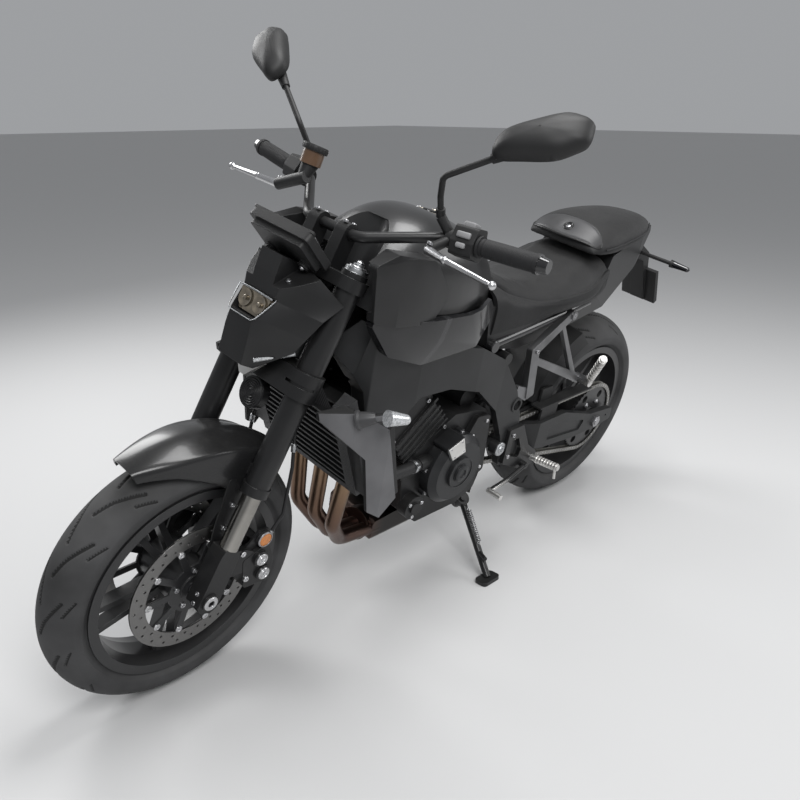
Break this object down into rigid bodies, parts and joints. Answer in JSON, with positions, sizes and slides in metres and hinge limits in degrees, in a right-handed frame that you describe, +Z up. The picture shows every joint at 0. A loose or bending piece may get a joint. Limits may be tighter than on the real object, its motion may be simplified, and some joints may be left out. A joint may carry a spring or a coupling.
{
  "type": "standard motorcycle",
  "caption": "Naked standard motorcycle in matt black, leaning on its side stand; steering turns, wheels spin and the stand folds.",
  "frame": {"origin": "middle of the bounding box on the ground", "axes": "+X forward, +Y to the rider's left, +Z up; the bike leans to +Y on its stand"},
  "size_m": [2.0738, 0.8808, 1.387],
  "materials": {
    "alloy": "satin",
    "bar": "satin black",
    "cover": "satin dark grey",
    "engine": "satin black",
    "frame": "dark grey, satin",
    "gloss": "gloss black",
    "header": "heat tinted bronze",
    "hose": "dull black",
    "lamp": "clear lens",
    "painted": "satin black",
    "plastic": "matt black",
    "red": "red lens",
    "rim": "satin black paint",
    "seat": "matt grained black",
    "steel": "plain",
    "tank": "matt black",
    "tyre": "dull black"
  },
  "bodies": {
    "chassis": {"frame_left": "frame", "frame_right": "frame", "steering_head": "frame", "engine": "engine", "generator_cover": "cover", "clutch_cover": "cover", "radiator": "painted", "shroud_left": "plastic", "shroud_right": "plastic", "hoses": "hose", "exhaust": "header", "tank": "tank", "duct_left": "plastic", "duct_right": "plastic", "side_panel_left": "gloss", "side_panel_right": "gloss", "rider_seat": "seat", "pillion_seat": "seat", "tail_cover": "plastic", "tail_lamp": "red", "plate_bracket": "plastic", "swingarm_left": "frame", "swingarm_right": "frame", "swingarm_bridge": "frame", "shock": "painted", "rear_axle": "steel", "chain": "steel", "rear_fender": "plastic", "rear_caliper": "cover", "foot_left": "alloy", "foot_right": "alloy", "pillion_peg_left": "alloy", "pillion_peg_right": "alloy", "stand_bracket": "painted"},
    "steering": {"yokes": "painted", "fork_left": "painted", "fork_right": "painted", "front_axle": "steel", "handlebar": "bar", "controls_left": "plastic", "controls_right": "plastic", "mirror_left": "plastic", "mirror_right": "plastic", "dash": "plastic", "lamp_cowl": "plastic", "lamps": "lamp", "front_fender": "plastic", "caliper_left": "cover", "caliper_right": "cover", "brake_lines": "hose"},
    "front_wheel": {"front_rim": "rim", "front_tyre": "tyre"},
    "rear_wheel": {"rear_rim": "rim", "rear_tyre": "tyre"},
    "side_stand": {"stand_leg": "painted"}
  },
  "joints": [
    {"name": "steering_turn", "type": "hinge", "parent": "chassis", "child": "steering", "pos_m": [0.46204, -0.07676, 0.81824], "axis": [-0.4174, 0.1874, 0.8892], "range_deg": [-30.2, 25.8]},
    {"name": "front_spin", "type": "hinge", "parent": "steering", "child": "front_wheel", "pos_m": [0.73708, -0.18584, 0.29557], "axis": [-0.0349, 0.9745, -0.2217], "continuous": true},
    {"name": "rear_spin", "type": "hinge", "parent": "chassis", "child": "rear_wheel", "pos_m": [-0.6929, -0.18376, 0.31046], "axis": [0, 0.9785, -0.2062], "continuous": true},
    {"name": "stand_fold", "type": "hinge", "parent": "chassis", "child": "side_stand", "pos_m": [-0.1279, -0.11745, 0.17896], "axis": [0.1196, 0.7502, 0.6503], "range_deg": [0, 96.13]}
  ]
}
